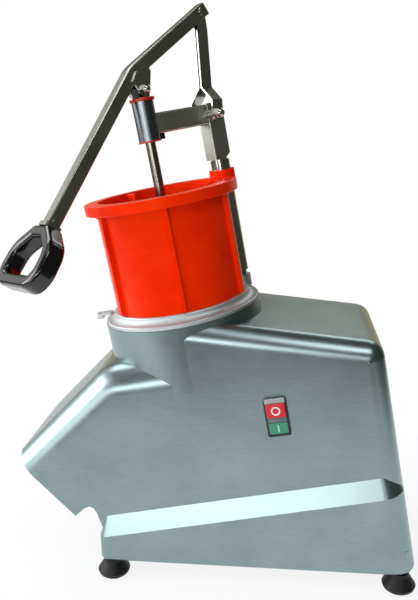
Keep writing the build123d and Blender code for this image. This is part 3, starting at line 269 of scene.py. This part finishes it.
# Motor in an enamelled case hung from its plate. Its pulley and the disc's pulley, the shafts
# and bearings and the lid's pivot pin are turned steel, with fine marks round them.
grey_enamel = moulded("grey_enamel", "3c4447", "465054", (0.3, 0.4), 2.5, 0.05)
dress(grey_enamel, "motor_housing")
turned_steel = worked_metal("turned_steel", "85878a", "a2a4a5", (0.2, 0.34), (0.8, 12),
                            (0, 1, 0), 0.02)
dress(turned_steel, "motor_shaft", "small_pulley", "large_pulley", "drive_shaft",
      "upper_bearing", "lower_bearing", "pivot_pin")

# Ejector and slicing disc: stamped stainless steel, polished, held by a nut on the shaft. The
# two blades are ground brighter and sit on the disc with countersunk screws.
disc_steel = worked_metal("polished_disc_steel", "a9acac", "c3c5c4", (0.14, 0.26), (1.0, 25),
                          (0, 1, 0), 0.01)
dress(disc_steel, "cutting_disc", "ejector_disc", "disc_nut")
blade_steel = worked_metal("ground_blade_steel", "bfc1c1", "d4d5d4", (0.1, 0.2), (0.6, 12),
                           (1, 0, 0), 0.01)
dress(blade_steel, "disc_blades")

# Switch: a grey ABS frame in a window of the body, with a red and a green button of glossy
# polycarbonate. It leans with the tower, whose axis and origin serve all pieces from here on.
grey_abs = moulded("dark_grey_abs", "1d2122", "26292a", (0.3, 0.4), 1.0, 0.02)
dress(grey_abs, "switch_frame")
red_button = moulded("red_polycarbonate", "bf0c1c", "cb1224", (0.22, 0.32), 1.5, 0.02, 1.58)
dress(red_button, "stop_button")
green_button = moulded("green_polycarbonate", "2f8263", "378d6d", (0.22, 0.32), 1.5, 0.02, 1.58)
dress(green_button, "start_button")

lean = radians(9.56)
tower_x = Vector((cos(lean), 0, sin(lean)))
tower_axis = Vector((-sin(lean), 0, cos(lean)))
tower_point = Vector((-0.1079, 0, 0.3778))
upright_lean = (0, -lean, 0)
switch_middle = Vector((0.0316, -0.1112, 0.2548))


def on_switch(up, out):
    """The point at a height up the switch from its middle and a distance out of the wall."""
    return switch_middle + tower_axis * up + Vector((0, -out, 0))


def finish_piece(name, material, body):
    """Names the active object, sets its place into its mesh, and gives it material and body."""
    piece = bpy.context.object
    piece.name = name
    bpy.ops.object.transform_apply(location=True, rotation=True, scale=True)
    bpy.ops.object.shade_smooth_by_angle(angle=radians(40))
    piece.data.materials.clear()
    piece.data.materials.append(material)
    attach(piece, body)


def rounded_block(middle, sizes, turn, round_mm):
    """A block with rounded edges at its place: middle, sizes along x, y and z, and turn."""
    bpy.ops.object.select_all(action="DESELECT")
    bpy.ops.mesh.primitive_cube_add(size=1, location=middle, rotation=turn)
    bpy.context.object.scale = sizes
    bpy.ops.object.transform_apply(location=False, rotation=False, scale=True)
    bpy.ops.object.mode_set(mode="EDIT")
    bpy.ops.mesh.select_all(action="SELECT")
    bpy.ops.mesh.bevel(offset=round_mm / 1000, segments=3, affect="EDGES")
    bpy.ops.object.mode_set(mode="OBJECT")


# Signs printed on the buttons in thick pale ink: a ring on the stop button, drawn as a circle,
# widened inwards and raised, and on the start button a bar as long as the ring is wide.
pale_ink = moulded("pale_print", "f0d9d6", "f7e6e2", (0.4, 0.5), 1.0, 0.005)
mint_ink = moulded("pale_green_print", "9fe0bd", "b2ebcb", (0.4, 0.5), 1.0, 0.005)
ring_middle, ring_radius, ring_inside = on_switch(0.0115, 0.00795), 0.0061, 0.7
ink_thick = 0.0003
bpy.ops.object.select_all(action="DESELECT")
bpy.ops.mesh.primitive_circle_add(vertices=56, radius=ring_radius, location=ring_middle,
                                  rotation=(radians(90), 0, 0))
bpy.ops.object.mode_set(mode="EDIT")
bpy.ops.mesh.select_all(action="SELECT")
bpy.ops.mesh.extrude_region_move()
bpy.ops.transform.resize(value=(ring_inside, ring_inside, ring_inside),
                         center_override=ring_middle)
bpy.ops.mesh.select_all(action="SELECT")
bpy.ops.mesh.extrude_region_move(TRANSFORM_OT_translate={"value": (0, -ink_thick, 0)})
bpy.ops.mesh.select_all(action="SELECT")
bpy.ops.mesh.normals_make_consistent(inside=False)
bpy.ops.object.mode_set(mode="OBJECT")
finish_piece("stop_sign_ring", pale_ink, "stop_button")
rounded_block(on_switch(-0.015, 0.0045), (0.0017, 0.0006, 0.0106), upright_lean, 0.25)
finish_piece("start_sign_bar", mint_ink, "start_button")

# Bridge of grey ABS between the buttons, clipped into the frame, and the clear vinyl boot that
# covers the head of the frame: a soft moulding with three ribs across it, a little cloudy.
bridge_grey = moulded("grey_abs", "59676a", "657376", (0.35, 0.45), 1.0, 0.02)
clear_pvc = moulded("clear_soft_vinyl", "b4bfbc", "c6cfcc", (0.22, 0.32), 2.0, 0.03, 1.52)
clear_shader = clear_pvc.node_tree.nodes["Principled BSDF"]
clear_shader.inputs["Transmission Weight"].default_value = 0.35
for name, up, out, sizes, round_mm, material in (
    ("switch_bridge", -0.00275, 0.0043, (0.0250, 0.0012, 0.0068), 0.3, bridge_grey),
    ("boot_rib_0", 0.0227, 0.0046, (0.0268, 0.0036, 0.0018), 0.6, clear_pvc),
    ("boot_rib_1", 0.0246, 0.0046, (0.0268, 0.0036, 0.0018), 0.6, clear_pvc),
    ("boot_rib_2", 0.0265, 0.0046, (0.0268, 0.0036, 0.0018), 0.6, clear_pvc),
    ("boot_cap", 0.0246, 0.0038, (0.0262, 0.0034, 0.0062), 1.0, clear_pvc),
):
    rounded_block(on_switch(up, out), sizes, upright_lean, round_mm)
    finish_piece(name, material, "base")

# Lid ring: turned aluminium with a flat lip, coved up to the hopper's foot, its turning marks
# fine and matt. The latch's tab stands out on its left side and ends in a small lip.
lid_metal = worked_metal("turned_aluminium", "bcc4c6", "ced4d6", (0.5, 0.6), (1.2, 30),
                         (0, 1, 0), 0.01)
dress(lid_metal, "lid_ring", "latch_tab")
lip_middle = tower_point + tower_x * -0.1235 + tower_axis * -0.0016
rounded_block(lip_middle, (0.0094, 0.0122, 0.0036), upright_lean, 0.8)
finish_piece("latch_lip", lid_metal, "lid")

# Hopper: injection-moulded orange polypropylene, glossy, with ribs outside and two fins inside,
# each ending in a thicker top. Its shine is tinted warm, so that the white room reflected in it
# doesn't turn the orange pink.
fin_size, fin_out, fin_up = (0.0216, 0.0039, 0.0070), 0.0777, 0.1600
orange = moulded("orange_polypropylene", "ea2602", "f23004", (0.24, 0.33), 3.0, 0.04, 1.36)
orange_shader = orange.node_tree.nodes["Principled BSDF"]
orange_shader.inputs["Specular Tint"].default_value = linear("ff7a3c")
dress(orange, "hopper")
across = Vector((0, 1, 0))
for number, angle in enumerate((135, 15)):
    out = tower_x * cos(radians(angle)) + across * sin(radians(angle))
    facing = Matrix((out, tower_axis.cross(out), tower_axis)).transposed().to_euler()
    rounded_block(tower_point + out * fin_out + tower_axis * fin_up, fin_size, facing, 1.0)
    finish_piece("fin_top_" + str(number), orange, "lid")

# Guide post, arm and sleeve: drawn stainless tube, polished up the tower, and a box-section arm
# brushed along its length and welded between the post's head and the sleeve. The rod is ground.
up_tower, along_arm = (-0.1661, 0, 0.9861), (0.7093, 0.6947, 0.1195)
polished_steel = worked_metal("polished_stainless", "a9aaa4", "c0c0ba", (0.1, 0.2), (0.8, 20),
                              up_tower, 0.006)
dress(polished_steel, "post_tube", "pusher_nut")
ground_steel = worked_metal("ground_rod_steel", "76716b", "8b867f", (0.14, 0.24), (0.8, 20),
                            up_tower, 0.006)
dress(ground_steel, "pusher_rod")
# The sleeve is the same stainless, its colour painted darker and bluer: painted reflection of the
# dim room in front of it.
sleeve_painted_dark_steel = worked_metal("sleeve_tube_painted_reflection", "60676b", "787f84", (0.2, 0.3), (0.8, 20),
                            up_tower, 0.006)
dress(sleeve_painted_dark_steel, "guide_sleeve")
brushed_steel = worked_metal("brushed_stainless", "a4a69c", "b8bab0", (0.36, 0.46), (0.9, 25),
                             along_arm, 0.003)
dress(brushed_steel, "post_head", "pusher_arm")

# Bushes of turned red acetal, pressed into the sleeve's ends for the rod to run in. The upper
# one has a thin collar that stands round the sleeve's end.
collar_radius, collar_up, collar_high = 0.0161, 0.2866, 0.0043
collar_wall, collar_edge = 0.001, 0.0004
red_acetal = moulded("red_acetal", "a81c10", "b72215", (0.25, 0.35), 1.5, 0.03)
dress(red_acetal, "guide_bushes")
bpy.ops.object.select_all(action="DESELECT")
bpy.ops.mesh.primitive_circle_add(vertices=64, radius=collar_radius,
                                  location=tower_point + tower_axis * collar_up,
                                  rotation=upright_lean)
bpy.ops.object.mode_set(mode="EDIT")
bpy.ops.mesh.select_all(action="SELECT")
bpy.ops.mesh.extrude_region_move(TRANSFORM_OT_translate={"value": tower_axis * collar_high})
bpy.ops.object.mode_set(mode="OBJECT")
wall = bpy.context.object.modifiers.new("wall", "SOLIDIFY")
wall.thickness = collar_wall
bpy.ops.object.modifier_apply(modifier="wall")
edge = bpy.context.object.modifiers.new("edge", "BEVEL")
edge.width = collar_edge
edge.segments = 2
bpy.ops.object.modifier_apply(modifier="edge")
finish_piece("bush_collar", red_acetal, "lid")

# Clamping screw of the sleeve: steel blackened in hot oxide, dull and dark. The rod's head,
# screwed on the rod and taking the lever's pin, gets the same dark steel as painted shade, for
# the lug's shadow.
black_oxide_and_shade = worked_metal("black_oxide_steel_and_painted_shade", "17181a", "222325", (0.25, 0.4), (1.0, 3),
                           depth=0.01)
dress(black_oxide_and_shade, "guide_screw", "rod_head")

# Pusher plate: white polyethylene, moulded with six ribs and held under the rod by a nut. It is
# matt and a little uneven, as food-safe mouldings are.
white_plastic = moulded("white_polyethylene", "dfe0db", "e9eae6", (0.4, 0.5), 2.0, 0.05)
dress(white_plastic, "pusher_plate")

# Hand lever: bent square stainless tube, brushed along its length, with welded lugs. Pins,
# bolts and spacers are polished. The loop grip of black phenolic, very glossy, is moulded on a
# tongue in the tube's end.
lever_steel = worked_metal("brushed_lever_steel", "a0a098", "bdbdb5", (0.16, 0.3), (0.9, 30),
                           (-0.5, -0.48, -0.72), 0.01)
dress(lever_steel, "lever_tube", "lever_lugs", "grip_ferrule")
dress(polished_steel, "lever_pin", "rod_pin", "link_bolts", "link_spacers", "grip_screw")
phenolic = moulded("black_phenolic", "060708", "0c0d0f", (0.08, 0.18), 4.0, 0.03, 1.6)
dress(phenolic, "lever_grip")

# Acorn nuts of polished steel on the ends of two pivots: each dome is half a ball, a little
# flat. Rows: name, place along the arm, up the tower and out on the pin, radius, body.
lever_x = Vector(along_arm)
pin_axis = Vector((0.6850, -0.7193, 0.1154))
dome_scale = (1.02, 1.02, 0.86)
for name, along, up, out, radius, body in (
    ("foot_nut_front", 0.1050, 0.2537, 0.0310, 0.0066, "link"),
    ("foot_nut_rear", 0.1050, 0.2537, -0.0310, 0.0066, "link"),
    ("rod_nut", 0.0, 0.3010, 0.0170, 0.0056, "lever"),
):
    bpy.ops.object.select_all(action="DESELECT")
    middle = tower_point + lever_x * along + tower_axis * up + pin_axis * out
    facing = (pin_axis if out > 0 else -pin_axis).to_track_quat("Z", "Y")
    bpy.ops.mesh.primitive_uv_sphere_add(segments=40, ring_count=24, radius=radius,
                                         location=middle, rotation=facing.to_euler())
    bpy.ops.object.mode_set(mode="EDIT")
    bpy.ops.mesh.select_all(action="SELECT")
    bpy.ops.mesh.bisect(plane_co=middle, plane_no=facing @ Vector((0, 0, 1)), clear_inner=True,
                        use_fill=True)
    bpy.ops.object.mode_set(mode="OBJECT")
    bpy.context.object.scale = dome_scale
    finish_piece(name, polished_steel, body)

# Link: two flat strips of polished stainless, bent apart to pass the head of the post, and
# joined to it and to the lever's end by bolts.
link_steel = worked_metal("polished_strip_steel", "a3a49d", "bfbfb8", (0.14, 0.26), (0.8, 25),
                          (-0.3, -0.2, -0.95), 0.008)
dress(link_steel, "link_front_strip", "link_rear_strip")
